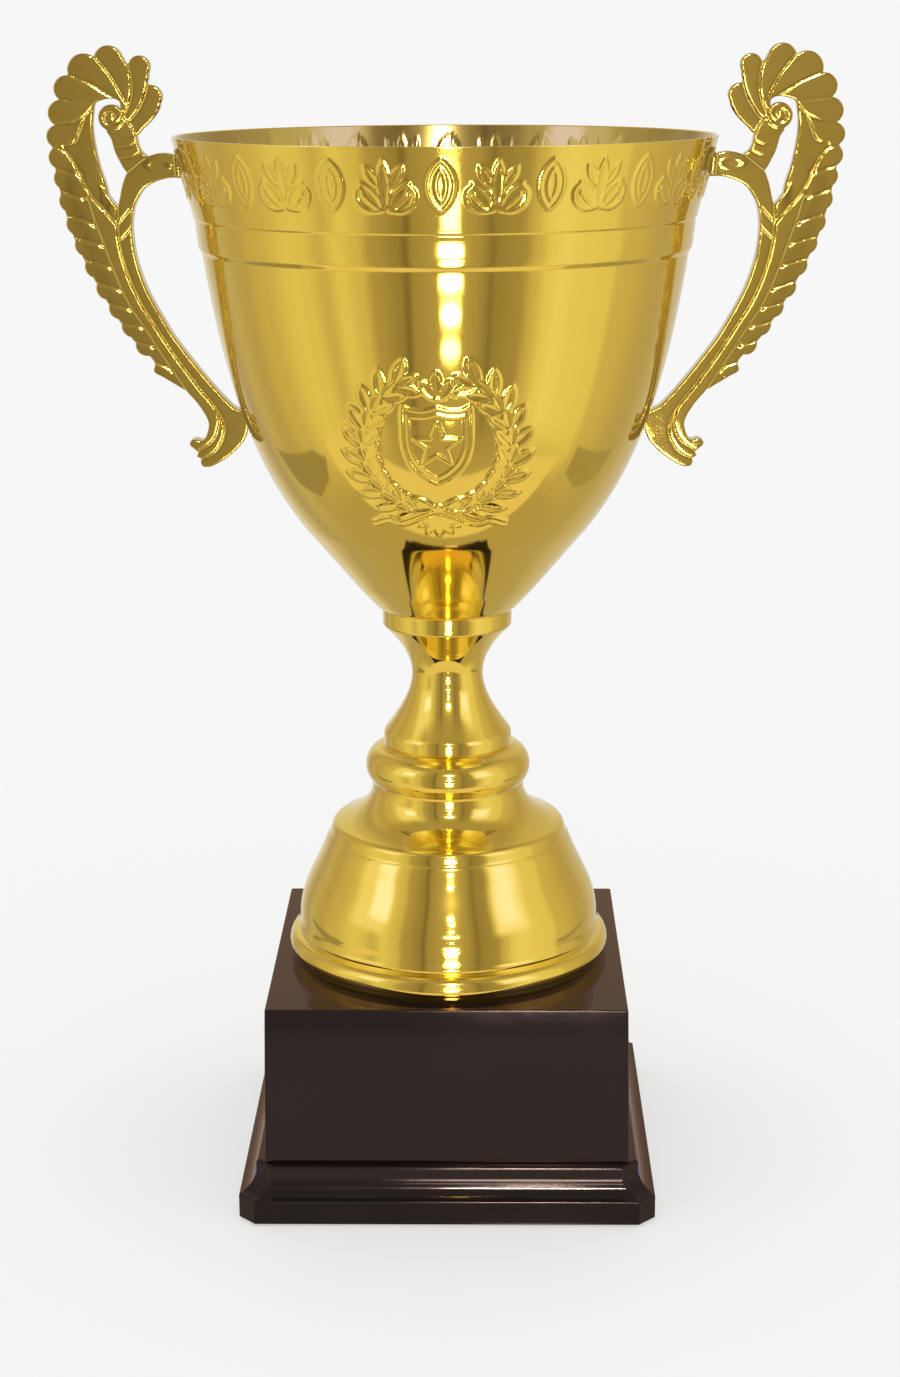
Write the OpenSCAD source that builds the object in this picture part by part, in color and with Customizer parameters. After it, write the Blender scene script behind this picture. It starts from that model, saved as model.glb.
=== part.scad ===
// Two-handled presentation cup on a square plinth.
// Millimetres. Origin on the table under the middle of the plinth, +Z up,
// -Y towards the front of the plinth, handles along +X and -X.

/* [Plinth] */
// Thickness of the felt pad under the plinth
felt_t = 0.8; // [0.5:0.1:2]
// Width of the moulded skirt across its fascia
skirt_w = 157.7; // [150:0.1:165]
// Height of the skirt's top edge above the table
skirt_h = 21.5; // [20:0.1:24]
// Leg length of the clipped corners of the skirt
skirt_clip = 6.3; // [3:0.1:10]
// Width of the block at its foot
block_w = 138.1; // [134:0.1:141]
// Width lost by the block between its foot and its top
block_draft = 2.2; // [0.5:0.1:4]
// Height of the block
block_h = 61.5; // [50:0.5:80]

/* [Foot and stem] */
// Diameter of the bell-shaped foot
foot_d = 126; // [122:0.5:130]
// Height of the foot
foot_h = 69; // [65:0.5:75]
// Height of the round knop
knop_h = 16; // [14:0.5:18]
// Height of the waisted stem
stem_h = 54; // [50:0.5:60]

/* [Bowl] */
// Diameter of the bowl at its rim
rim_d = 200; // [196:0.5:204]
// Height of the bowl
bowl_h = 177.2; // [174:0.2:180]
// Thickness of the spun sheet
sheet_t = 1.2; // [0.8:0.1:1.5]

/* [Handles] */
// Thickness of a handle's arm, spine and scroll
frame_t = 8; // [6:0.5:10]
// Thickness of a handle's leaves
leaf_t = 5; // [3:0.5:6]

/* [Fasteners] */
// Diameter of the tie rod
rod_d = 8; // [6:1:8]
// Diameter of the handle screws
screw_d = 3; // [2.5:0.5:3]

/* [Hidden] */
$fn = 96;

GOLD = "#d9b43c";
BRONZE = "#a8842f";
LACQUER = "#33291f";
STEEL = "#b8bcc0";

// Levels of the joints between the stacked pieces
block_z = skirt_h;
foot_z = block_z + block_h;
knop_z = foot_z + foot_h;
stem_z = knop_z + knop_h;
bowl_z = stem_z + stem_h;
rim_z = bowl_z + bowl_h;

rim_r = rim_d / 2;
foot_r = foot_d / 2;
rod_r = rod_d / 2;
rod_hole_r = rod_r + 0.3;
sink = 0.01;

// Points on a cubic curve with end points p[0] and p[3]
function curve(p, n) = [
    for (i = [0:n]) let (t = i / n, u = 1 - t)
        u*u*u * p[0] + 3*u*u*t * p[1] + 3*u*t*t * p[2] + t*t*t * p[3]
];

// Points on an ellipse with half axes a and b, from angle a0 to a1
function oval(c, a, b, a0, a1, n) = [
    for (i = [0:n]) let (w = a0 + (a1 - a0) * i / n)
        [c.x + a * cos(w), c.y + b * sin(w)]
];

// Point between b and c on the smooth curve through a, b, c and d
function spline(a, b, c, d, t) =
    0.5 * (2*b + (c - a)*t + (2*a - 5*b + 4*c - d)*t*t + (3*b - a - 3*c + d)*t*t*t);

// Closed outline through every given point, with n steps between points
function smooth_loop(p, n) = let (m = len(p)) [
    for (i = [0:m - 1], j = [0:n - 1])
        spline(p[(i + m - 1) % m], p[i], p[(i + 1) % m], p[(i + 2) % m], j / n)
];

// Unit direction of an open profile at point i
function along(p, i) = let (
    d = p[min(i + 1, len(p) - 1)] - p[max(i - 1, 0)]
) d / norm(d);

// Open profile moved t towards its axis side
function inner(p, t) = [
    for (i = [0:len(p) - 1]) let (d = along(p, i))
        [p[i].x - t * d.y, p[i].y + t * d.x]
];

function reversed(p) = [for (i = [len(p) - 1:-1:0]) p[i]];

// ---- Profiles: outer radius against height above each piece's own foot ----

// Cone under the belly
belly_foot = [rim_r - 45.6, 33];
// End of the belly, at the bead that steps out to the two rim bands
belly_top = [rim_r - 10.1, bowl_h - 41.7];
// Lower edge of the ornament band
band_foot = [rim_r - 7.3, bowl_h - 28.4];

bowl_outer = concat(
    [[24.4, 0]],
    curve([[25.4, 0.25], [27.1, 0.9], [27.9, 2.2], [29.3, 3.6]], 4),
    [for (t = [0, 0.5, 1]) [34.4, 9.2] * (1 - t) + belly_foot * t],
    curve([belly_foot, belly_foot + [19.5, 25.5], belly_top + [-7, -46], belly_top], 16),
    [belly_top + [0.35, 0.5], belly_top + [1.1, 1.7]],
    [belly_top + [1.35, 3.2], belly_top + [1.5, 4.2]],
    [band_foot + [-0.25, -0.8], band_foot, [rim_r, bowl_h]]
);

stem_outer = concat(
    [[24.3, 0], [24.75, 0.6], [24.75, 4.4], [24.4, 5.4]],
    curve([[24.2, 5.8], [17.9, 13.9], [13.7, 21.2], [13.7, 28]], 10),
    curve([[13.7, 28], [13.7, 35.6], [19.3, 42.4], [24.1, 47]], 10),
    [[24.6, 47.5], [24.8, 48.2], [24.8, stem_h]]
);

knop_outer = concat(
    [[29.3, 0]],
    oval([24.5, 7.3], 7.5, 8.1, -48, 60, 14),
    [[26.6, 15.1], [25.4, knop_h]]
);

foot_outer = concat(
    [[foot_r - 1.2, 0], [foot_r - 0.45, 1.8]],
    oval([foot_r - 3.6, 4.9], 3.6, 4.9, -25, 88, 8),
    [[foot_r - 4.1, 10.1], [foot_r - 3.6, 11.2], [foot_r - 3.5, 12.2], [foot_r - 4, 13.4]],
    curve([[foot_r - 4.3, 15.5], [foot_r - 4.3, 24.5], [54.6, 31.5], [51, 39]], 9),
    curve([[50.2, 40.7], [48.8, 43.8], [47.9, 46.4], [46.9, 48.3]], 4),
    [[46.4, 48.9], [46.2, 49.4], [45.4, 52.3], [44.8, 53.2]],
    curve([[43.8, 53.9], [36.4, 56.6], [30.6, 60.9], [29.6, foot_h - 2.2]], 9),
    [[29.5, foot_h]]
);

// ---- Handle outline, seen from the front of the right-hand handle ----

// Point of the bowl's rim that the handle's coordinates start from
handle_at = [rim_r + 0.9, rim_z + 0.5];

// Round tips of the leaves, from the crest down to the tail: x, z, radius
CREST_TIPS = [
    [6.5, 13.3, 4.3], [10.3, 24, 4], [21.5, 26.3, 5.3], [30.5, 22.8, 6],
    [37, 16.3, 4.8], [39.5, 7.6, 4.8], [41, -0.7, 4.2], [40.5, -8.2, 4.2]
];
FEATHER_TIPS = [
    [38.9, -15.7], [37.3, -23.9], [35, -32.2], [32.2, -39.9],
    [28.8, -47.9], [24.9, -55.9], [20.5, -63.2], [16, -69.9], [11, -76.9]
];
feather_tip_r = 4.2;

// Sheet of leaves between the notches and the frame
LEAVES = [
    [12.4, -0.5], [9, 2.8], [5.5, 5.3], [4.2, 9], [4.5, 14], [7.3, 17.8],
    [8.5, 22], [14.5, 25], [19, 28], [26.3, 27.8], [36, 21.1], [40.1, 12.6],
    [42.1, 3.5], [43.3, -4.8], [42.5, -11.9], [41.1, -20.3], [39, -29.4],
    [36.6, -37.4], [33.2, -45.4], [29.2, -53.7], [24.8, -61.7],
    [20.5, -68.7], [15.5, -75.8], [8.5, -83], [8.7, -86.9], [5, -89.2],
    [0, -92.2], [-3, -93.7], [-3, -90], [1, -82], [7, -73], [12, -64.5],
    [16, -56], [19, -47], [21.5, -38], [24.5, -29], [28, -20], [30.3, -11.7],
    [29.1, -3.2], [29, 2.8], [28, 7.3], [26.8, 11], [24, 12.3], [20.5, 12.8],
    [18, 11.8], [17.5, 9.8], [16, 4]
];
// Arm, spine and foot scroll in one sweep
FRAME = [
    [-8, -15.2], [-0.5, -15.6], [4, -16.5], [9, -18.9], [12, -22.7],
    [13.9, -26.8], [14.8, -33.2], [14.5, -39.2], [13.5, -45.7],
    [11.3, -53.2], [8.5, -59.7], [5, -66.2], [1, -73.2], [-4, -80.2],
    [-9, -86.7], [-14, -92.7], [-19.2, -96.4], [-24.6, -99], [-26.4, -105.2],
    [-26, -111.4], [-22, -114.6], [-19.5, -117.7], [-16, -120.7],
    [-12, -122.7], [-9, -122.8], [-8, -121.2], [-8.1, -119.7],
    [-6.6, -118.9], [-7, -117.2], [-4.2, -114.7], [-4.5, -112.9],
    [-6.5, -112.4], [-8.5, -112.9], [-10, -111.7], [-11, -109.2],
    [-11.4, -106.2], [-10, -102.7], [-7, -98.2], [-3, -93.5], [2.5, -85.2],
    [7.3, -77.7], [11.5, -70.7], [15.8, -64.2], [19.5, -56.7],
    [22.8, -48.2], [25.5, -40.2], [28.3, -32.2], [31, -23.2], [33, -15.7],
    [31, -12.6], [28, -14.2], [26, -19.7], [23.5, -23.2], [20, -25.7],
    [19, -23.2], [17.8, -18.2], [15.8, -13.4], [13, -11], [10, -8.9],
    [7, -7.5], [3, -6.7], [-1, -7.2], [-8, -9.6]
];
// Ringed neck that carries the crest on the arm
NECK = [
    [12.4, 0.4], [11.5, -3.7], [10.3, -6.2], [7.5, -9], [11, -11.5],
    [15.6, -13.8], [18.5, -9.7], [20.3, -5.7], [21.3, -1.7], [23, 1.6],
    [22, 6], [16, 5.5]
];
volute_at = [21, 6];
volute_r = 4.7;

// ---- Fixings ----

washer_t = 0.6;
handle_screw_len = 7.5;
handle_head_r = 2.8;
handle_head_h = 1.9;
handle_washer_r = 3.6;
// A flat washer stands on two edges of its rim inside the curved wall
washer_gap = 0.12;
// Seat of a handle screw's head, measured from the bowl's outer face
head_seat = -sheet_t - washer_gap - washer_t;

// Heights of the two screws of a handle, above the bowl's foot
top_screw_z = bowl_h - 12.3;
low_screw_z = bowl_h - 104.6;

// Radius of the bowl's outer face at height z above its foot
function bowl_r(z) = lookup(z, [for (q = bowl_outer) [q.y, q.x]]);
// Lean of that face from the vertical
function bowl_lean(z) = atan((bowl_r(z + 3) - bowl_r(z - 3)) / 6);

bowl_washer_r = 12;
bowl_washer_h = 2;
nut_across = 13;
nut_h = 6.5;
plinth_washer_r = 12;
plinth_washer_h = 2;
lock_washer_h = 2.1;
recess_r = 16;
core_r = foot_r - 8;
core_h = 8;

skirt_screw_at = 46;
skirt_screw_r = 2;
skirt_screw_head_r = 4;
skirt_screw_head_h = 2.4;
skirt_screw_len = 30;

// ---- Building blocks ----

// Sheet-metal shell of revolution, closed by a flat plate at its foot and,
// when top is true, by one at its top, both pierced for the tie rod
module spun_shell(outer, top) {
    height = outer[len(outer) - 1].y;
    roof = height - sheet_t;
    core = [
        for (q = inner(outer, sheet_t))
            if (q.y > sheet_t && q.y < roof) q
    ];
    end = top
        ? [[rod_hole_r, height], [rod_hole_r, roof], [core[len(core) - 1].x, roof]]
        : [[outer[len(outer) - 1].x - sheet_t, height]];
    rotate_extrude()
        polygon(concat(
            [[rod_hole_r, 0]], outer, end, reversed(core),
            [[core[0].x, sheet_t], [rod_hole_r, sheet_t]]
        ));
}

// Solid of revolution under an outer profile
module filled(outer) {
    rotate_extrude()
        polygon(concat([[0, outer[0].y]], outer, [[0, outer[len(outer) - 1].y]]));
}

// Children placed on the bowl's outer face at height z, local +Z outwards
module on_wall(z) {
    translate([bowl_r(z), 0, bowl_z + z])
        rotate([0, 90 + bowl_lean(z), 0])
            children();
}

// Children at the two fixings of both handles
module each_fixing() {
    for (side = [0, 180], z = [top_screw_z, low_screw_z])
        rotate([0, 0, side])
            on_wall(z)
                children();
}

// Children at the four skirt screws
module each_skirt_screw() {
    for (x = [-1, 1], y = [-1, 1])
        translate([x * skirt_screw_at, y * skirt_screw_at, 0])
            children();
}

module ring(r, bore, h) {
    difference() {
        cylinder(r = r, h = h);
        translate([0, 0, -1])
            cylinder(r = bore, h = h + 2);
    }
}

module hex_nut(across, h, bore) {
    difference() {
        cylinder(r = across / sqrt(3), h = h, $fn = 6);
        translate([0, 0, -1])
            cylinder(r = bore, h = h + 2);
    }
}

// ---- Bowl and handles ----

module bowl() {
    color(GOLD)
        difference() {
            translate([0, 0, bowl_z])
                spun_shell(bowl_outer, false);
            each_fixing()
                translate([0, 0, -4])
                    cylinder(r = screw_d / 2 + 0.2, h = 8);
        }
}

module handle() {
    difference() {
        translate([handle_at.x, 0, handle_at.y])
            rotate([90, 0, 0]) {
                linear_extrude(height = leaf_t, center = true) {
                    polygon(smooth_loop(LEAVES, 2));
                    for (p = CREST_TIPS)
                        translate([p.x, p.y])
                            circle(r = p.z);
                    for (p = FEATHER_TIPS)
                        translate(p)
                            circle(r = feather_tip_r);
                    translate(volute_at)
                        circle(r = volute_r);
                }
                linear_extrude(height = frame_t, center = true) {
                    polygon(smooth_loop(FRAME, 2));
                    polygon(smooth_loop(NECK, 2));
                }
            }
        translate([0, 0, bowl_z])
            filled(bowl_outer);
        for (z = [top_screw_z, low_screw_z])
            on_wall(z)
                translate([0, 0, -1])
                    cylinder(r = screw_d / 2, h = handle_screw_len + 1.5);
    }
}

module handle_right() {
    color(BRONZE)
        handle();
}

module handle_left() {
    color(BRONZE)
        rotate([0, 0, 180])
            handle();
}

module handle_screws() {
    color(STEEL)
        each_fixing() {
            translate([0, 0, head_seat - handle_head_h])
                cylinder(r = handle_head_r, h = handle_head_h);
            translate([0, 0, head_seat - sink])
                cylinder(r = screw_d / 2 - 0.02, h = handle_screw_len - head_seat);
        }
}

module handle_washers() {
    color(STEEL)
        each_fixing()
            translate([0, 0, head_seat])
                ring(handle_washer_r, screw_d / 2 + 0.1, washer_t);
}

module bowl_washer() {
    color(STEEL)
        translate([0, 0, bowl_z + sheet_t])
            ring(bowl_washer_r, rod_hole_r, bowl_washer_h);
}

module bowl_nut() {
    color(STEEL)
        translate([0, 0, bowl_z + sheet_t + bowl_washer_h])
            hex_nut(nut_across, nut_h, rod_r);
}

// ---- Stem and foot ----

module stem() {
    color(GOLD)
        translate([0, 0, stem_z])
            spun_shell(stem_outer, true);
}

module stem_knop() {
    color(GOLD)
        translate([0, 0, knop_z])
            spun_shell(knop_outer, true);
}

module foot() {
    color(GOLD)
        translate([0, 0, foot_z])
            foot_shell();
}

// The foot is open underneath
module foot_shell() {
    skin = [for (q = inner(foot_outer, sheet_t)) if (q.y > 0 && q.y < foot_h - sheet_t) q];
    roof = foot_h - sheet_t;
    rotate_extrude()
        polygon(concat(
            foot_outer,
            [[rod_hole_r, foot_h], [rod_hole_r, roof], [skin[len(skin) - 1].x, roof]],
            reversed(skin),
            [[skin[0].x, 0]]
        ));
}

module foot_core() {
    color("#e6e2d8")
        translate([0, 0, foot_z])
            ring(core_r, rod_hole_r, core_h);
}

module tie_rod() {
    low = block_z - plinth_washer_h - lock_washer_h - nut_h - 2;
    high = bowl_z + sheet_t + bowl_washer_h + nut_h + 2;
    color(STEEL)
        translate([0, 0, low])
            cylinder(r = rod_r - 0.03, h = high - low);
}

// ---- Plinth ----

// Prism of the skirt's moulding, open along its length; stretch is 1 for the
// four sides and sqrt(2) for the clipped corners
module moulding(stretch, cut) {
    fascia = skirt_w / 2;
    ledge = fascia - 6.25;
    cove_r = 8;
    cove_z = skirt_h - 3.5;
    side = concat(
        [[fascia, felt_t], [fascia, 9.6]],
        oval([ledge + cove_r, cove_z], cove_r, cove_r, -103, -180, 9),
        [[ledge, skirt_h - 0.5], [ledge - 0.5, skirt_h]]
    );
    half = [for (q = side) [q.x * stretch - cut, q.y]];
    rotate([90, 0, 0])
        linear_extrude(height = 2 * skirt_w, center = true)
            polygon(concat(half, reversed([for (q = half) [-q.x, q.y]])));
}

module plinth_skirt() {
    color(LACQUER)
        difference() {
            intersection() {
                moulding(1, 0);
                rotate([0, 0, 90])
                    moulding(1, 0);
                rotate([0, 0, 45])
                    moulding(sqrt(2), skirt_clip / sqrt(2));
                rotate([0, 0, -45])
                    moulding(sqrt(2), skirt_clip / sqrt(2));
            }
            cylinder(r = recess_r, h = 2 * skirt_h);
            each_skirt_screw() {
                cylinder(r = skirt_screw_r + 0.1, h = 2 * skirt_h);
                cylinder(r = skirt_screw_head_r + 0.4, h = felt_t + skirt_screw_head_h);
            }
        }
}

// Prism of the block, with the draft on two of its sides
module block_prism() {
    foot = block_w / 2;
    top = foot - block_draft / 2;
    rotate([90, 0, 0])
        linear_extrude(height = 2 * block_w, center = true)
            polygon([
                [-foot, block_z], [foot, block_z],
                [top, foot_z], [-top, foot_z]
            ]);
}

module plinth_block() {
    color(LACQUER)
        difference() {
            intersection() {
                block_prism();
                rotate([0, 0, 90])
                    block_prism();
            }
            cylinder(r = rod_hole_r, h = 2 * foot_z);
            each_skirt_screw()
                cylinder(r = skirt_screw_r, h = felt_t + skirt_screw_len + 0.5);
        }
}

module plinth_washer() {
    color(STEEL)
        translate([0, 0, block_z - plinth_washer_h])
            ring(plinth_washer_r, rod_hole_r, plinth_washer_h);
}

// Split spring washer
module plinth_lock_washer() {
    color(STEEL)
        translate([0, 0, block_z - plinth_washer_h - lock_washer_h])
            difference() {
                ring(rod_r + 3, rod_hole_r, lock_washer_h);
                rotate([0, 0, 20])
                    translate([rod_r + 2, 0, lock_washer_h / 2])
                        cube([6, 1, 2 * lock_washer_h], center = true);
            }
}

module plinth_nut() {
    color(STEEL)
        translate([0, 0, block_z - plinth_washer_h - lock_washer_h - nut_h])
            hex_nut(nut_across, nut_h, rod_r);
}

module skirt_screws() {
    color(STEEL)
        each_skirt_screw() {
            translate([0, 0, felt_t])
                cylinder(r = skirt_screw_head_r, h = skirt_screw_head_h);
            translate([0, 0, felt_t + skirt_screw_head_h - sink])
                cylinder(r = skirt_screw_r - 0.02, h = skirt_screw_len - skirt_screw_head_h);
        }
}

module felt_pad() {
    half = skirt_w / 2 - 4;
    clip = skirt_clip;
    color("#20241f")
        linear_extrude(height = felt_t)
            polygon([
                [half - clip, -half], [half, -half + clip],
                [half, half - clip], [half - clip, half],
                [-half + clip, half], [-half, half - clip],
                [-half, -half + clip], [-half + clip, -half]
            ]);
}

bowl();
handle_right();
handle_left();
handle_screws();
handle_washers();
bowl_washer();
bowl_nut();
stem();
stem_knop();
foot();
foot_core();
tie_rod();
plinth_block();
plinth_skirt();
plinth_washer();
plinth_lock_washer();
plinth_nut();
skirt_screws();
felt_pad();
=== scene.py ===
"""Two-handled presentation cup on a square plinth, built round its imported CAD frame.

Outlines and reliefs are in millimetres and become metres where a mesh is made.
Heights come from the frame. Azimuth 0 is the front of the cup (-Y), and it grows
towards the right-hand handle (+X).
"""
from math import atan2, cos, log, pi, radians, sin

import bpy
import numpy as np
from mathutils import Matrix, Vector


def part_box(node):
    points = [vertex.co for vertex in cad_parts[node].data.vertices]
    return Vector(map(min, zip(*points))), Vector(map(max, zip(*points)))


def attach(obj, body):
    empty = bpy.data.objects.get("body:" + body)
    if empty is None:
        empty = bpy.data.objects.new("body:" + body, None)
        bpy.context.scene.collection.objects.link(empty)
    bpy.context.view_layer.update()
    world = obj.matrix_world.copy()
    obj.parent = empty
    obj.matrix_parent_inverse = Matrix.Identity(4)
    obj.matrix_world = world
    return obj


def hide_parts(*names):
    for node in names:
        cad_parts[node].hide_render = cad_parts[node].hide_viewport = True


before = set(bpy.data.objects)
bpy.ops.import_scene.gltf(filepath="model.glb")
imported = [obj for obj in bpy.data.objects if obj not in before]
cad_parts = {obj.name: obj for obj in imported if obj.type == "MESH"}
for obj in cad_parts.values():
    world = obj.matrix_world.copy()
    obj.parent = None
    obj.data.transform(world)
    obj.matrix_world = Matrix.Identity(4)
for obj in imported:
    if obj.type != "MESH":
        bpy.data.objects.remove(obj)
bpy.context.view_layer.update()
MM = 0.001


def low(node):
    """Height of a node's lowest point, in millimetres."""
    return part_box(node)[0].z / MM


def high(node):
    """Height of a node's highest point, in millimetres."""
    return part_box(node)[1].z / MM


def half_width(node):
    """Half of a node's width along X, in millimetres."""
    lowest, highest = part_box(node)
    return (highest.x - lowest.x) / 2 / MM


BOWL_Z = low("bowl")
RIM_Z = high("bowl")
BOWL_H = RIM_Z - BOWL_Z
RIM_R = half_width("bowl")
STEM_Z = low("stem")
STEM_H = high("stem") - STEM_Z
KNOP_Z = low("stem_knop")
KNOP_H = high("stem_knop") - KNOP_Z
FOOT_Z = low("foot")
FOOT_H = high("foot") - FOOT_Z
FOOT_R = half_width("foot")
BLOCK_Z = low("plinth_block")
SKIRT_H = high("plinth_skirt")
SHEET_T = 1.2
ROD_HOLE_R = 4.3


# ---------------- outlines

def curve(points, n=60):
    """Points on a cubic curve whose ends are the first and last of four points."""
    a, b, c, d = np.array(points, float)
    t = np.linspace(0, 1, n + 1)[:, None]
    u = 1 - t
    return u**3 * a + 3 * u * u * t * b + 3 * u * t * t * c + t**3 * d


def oval(centre, a, b, start, end, n=40):
    """Points on an ellipse with half axes a and b, between two angles in degrees."""
    w = np.radians(np.linspace(start, end, n + 1))
    return np.stack([centre[0] + a * np.cos(w), centre[1] + b * np.sin(w)], -1)


def spline(points, n=6, closed=False):
    """Smooth line through every given point, in n steps from each to the next."""
    p = np.array(points, float)
    if closed:
        p = np.vstack([p[-1], p, p[0], p[1]])
    else:
        p = np.vstack([2 * p[0] - p[1], p, 2 * p[-1] - p[-2]])
    t = np.arange(n)[:, None] / n
    spans = [
        0.5 * (2 * b + (c - a) * t + (2 * a - 5 * b + 4 * c - d) * t**2
               + (3 * b - a - 3 * c + d) * t**3)
        for a, b, c, d in zip(p[:-3], p[1:-2], p[2:-1], p[3:])
    ]
    return np.vstack(spans) if closed else np.vstack(spans + [p[-2:-1]])


def lengths(path):
    """Distance along a path from its start to each point."""
    steps = np.linalg.norm(np.diff(path, axis=0), axis=1)
    return np.concatenate([[0], np.cumsum(steps)])


def at_lengths(path, where):
    """Points of a path at the given distances along it."""
    s = lengths(path)
    return np.stack([np.interp(where, s, path[:, k]) for k in (0, 1)], -1)


def rounded(path, radius, gap=0.08):
    """The path with its corners rounded off over about the given radius."""
    total = lengths(path)[-1]
    fine = at_lengths(path, np.linspace(0, total, int(total / gap) + 2))
    reach = int(2.5 * radius / gap)
    start = 2 * fine[0] - fine[reach:0:-1]
    end = 2 * fine[-1] - fine[-2:-reach - 2:-1]
    weights = np.exp(-0.5 * (np.arange(-reach, reach + 1) * gap / (0.8 * radius)) ** 2)
    weights /= weights.sum()
    padded = np.vstack([start, fine, end])
    return np.stack([np.convolve(padded[:, k], weights, "valid") for k in (0, 1)], -1)


def rows(path, step, turn=4):
    """Thins a fine path to rows that are at most step apart, or turn degrees on a bend."""
    d = np.diff(path, axis=0)
    ds = np.linalg.norm(d, axis=1)
    heading = np.unwrap(np.arctan2(d[:, 1], d[:, 0]))
    bend = np.abs(np.gradient(heading)) if len(heading) > 1 else np.zeros(1)
    spacing = step(path[:-1, 1]) if callable(step) else step
    measure = np.concatenate([[0], np.cumsum(ds / spacing + bend / radians(turn))])
    n = max(1, int(np.ceil(measure[-1])))
    where = np.linspace(0, measure[-1], n + 1)
    return np.stack([np.interp(where, measure, path[:, k]) for k in (0, 1)], -1)


def inset(path, distance):
    """A path moved towards its left-hand side, which is inwards on a rising profile."""
    d = np.gradient(path, axis=0)
    d /= np.linalg.norm(d, axis=1, keepdims=True)
    return path + distance * np.stack([-d[:, 1], d[:, 0]], -1)


def smoothstep(x, lo, hi):
    """Rises smoothly from 0 at lo to 1 at hi."""
    t = np.clip((x - lo) / (hi - lo), 0, 1)
    return t * t * (3 - 2 * t)


# ---------------- flat distances
# Each gives the distance of points (x, y) from a shape, negative inside a closed one.

FAR_OFF = 1e9


def from_path(x, y, path):
    """Distance from an open line."""
    best = np.full(x.shape, FAR_OFF)
    for (ax, ay), (bx, by) in zip(path[:-1], path[1:]):
        ex, ey = bx - ax, by - ay
        t = ((x - ax) * ex + (y - ay) * ey) / max(ex * ex + ey * ey, 1e-12)
        t = np.clip(t, 0, 1)
        best = np.minimum(best, (x - ax - t * ex) ** 2 + (y - ay - t * ey) ** 2)
    return np.sqrt(best)


def from_loop(x, y, loop):
    """Signed distance from a closed outline."""
    closed = np.vstack([loop, loop[:1]])
    inside = np.zeros(x.shape, bool)
    for (ax, ay), (bx, by) in zip(closed[:-1], closed[1:]):
        if ay != by:
            crosses = (ay > y) != (by > y)
            inside ^= crosses & (x < (bx - ax) * (y - ay) / (by - ay) + ax)
    d = from_path(x, y, closed)
    return np.where(inside, -d, d)


def from_leaf(x, y, base, heading, length, width):
    """Signed distance from a pointed leaf that grows from base at a heading in degrees."""
    w = radians(heading)
    s = (x - base[0]) * cos(w) + (y - base[1]) * sin(w) - length / 2
    t = np.abs(-(x - base[0]) * sin(w) + (y - base[1]) * cos(w))
    r = (length**2 / 4 + width**2 / 4) / width
    return np.hypot(s, t + r - width / 2) - r


def from_disc(x, y, centre, r):
    """Signed distance from a disc."""
    return np.hypot(x - centre[0], y - centre[1]) - r


def from_star(x, y, centre, r, points=5, waist=0.42):
    """Signed distance from a star with straight edges, one point upwards."""
    corner = np.arange(2 * points)
    w = corner * pi / points + pi / 2
    reach = np.where(corner % 2 == 0, r, r * waist)
    outline = np.stack([centre[0] + reach * np.cos(w), centre[1] + reach * np.sin(w)], -1)
    return from_loop(x, y, outline)


RELIEF_SOFT = 0.42
LIP_INSIDE = 0.3


def ridge(d, half):
    """A rounded line of height 1 where d is 0, with the given half width."""
    return np.exp(-((d / half) ** 2))


def raised(d, plateau=0.22, lip=0.34):
    """Height of an embossed shape with a raised lip along its edge."""
    flat = plateau * smoothstep(-d, -RELIEF_SOFT, RELIEF_SOFT)
    return flat + lip * ridge(d + LIP_INSIDE, RELIEF_SOFT)


# ---------------- meshes

def add_object(name, data):
    """A new object in the scene."""
    made = bpy.data.objects.new(name, data)
    bpy.context.scene.collection.objects.link(made)
    return made


def piece(name, points, faces, material, stands_for, normals=None):
    """Makes a smooth mesh from millimetre points, and ties it to the frame."""
    mesh = bpy.data.meshes.new(name)
    mesh.from_pydata(np.asarray(points) * MM, [], faces)
    mesh.validate()
    mesh.shade_smooth()
    if normals is not None:
        mesh.normals_split_custom_set_from_vertices(normals)
    mesh.materials.append(material)
    made = add_object(name, mesh)
    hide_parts(stands_for)
    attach(made, "root")
    return made


def lathe(strips, base, angles):
    """Points and faces of a turned shell, and the strip that each face belongs to.

    A strip is a profile of (radius, height) rows with an optional relief, and its left side
    is metal. There is a crisp edge between strips.
    """
    points, faces, strip_of, first = [], [], [], 0
    n = len(angles)
    across = np.arange(n)
    beside = np.roll(across, -1)
    for number, (path, relief) in enumerate(strips):
        r = np.repeat(path[:, :1], n, 1)
        z = np.repeat(path[:, 1:], n, 1)
        if relief is not None:
            d = np.gradient(path, axis=0)
            d /= np.linalg.norm(d, axis=1, keepdims=True)
            lift = relief(path, angles)
            r = r + lift * d[:, 1:]
            z = z - lift * d[:, :1]
        grid = np.stack([r * np.sin(angles), -r * np.cos(angles), z + base], -1)
        points.append(grid.reshape(-1, 3))
        start = first + n * np.arange(len(path) - 1)[:, None]
        quads = [start + across, start + beside, start + n + beside, start + n + across]
        faces.append(np.stack(quads, -1).reshape(-1, 4))
        strip_of += [number] * len(faces[-1])
        first += n * len(path)
    return np.vstack(points), np.vstack(faces).tolist(), strip_of


def flat(start, end):
    """A plain conical or flat strip between two points of a profile."""
    return np.array([start, end]), None


def turned(name, strips, base, angles, material, stands_for, lining=None, lined=()):
    """A turned piece; the strips listed in lined take the lining material."""
    points, faces, strip_of = lathe(strips, base, angles)
    made = piece(name, points, faces, material, stands_for)
    if lining:
        made.data.materials.append(lining)
        index = np.isin(strip_of, lined).astype(np.int32)
        made.data.polygons.foreach_set("material_index", index)
    return made


def round_angles(n):
    """Columns evenly spaced all the way round."""
    return np.linspace(-pi, pi, n, endpoint=False)


# ---------------- materials

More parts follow.
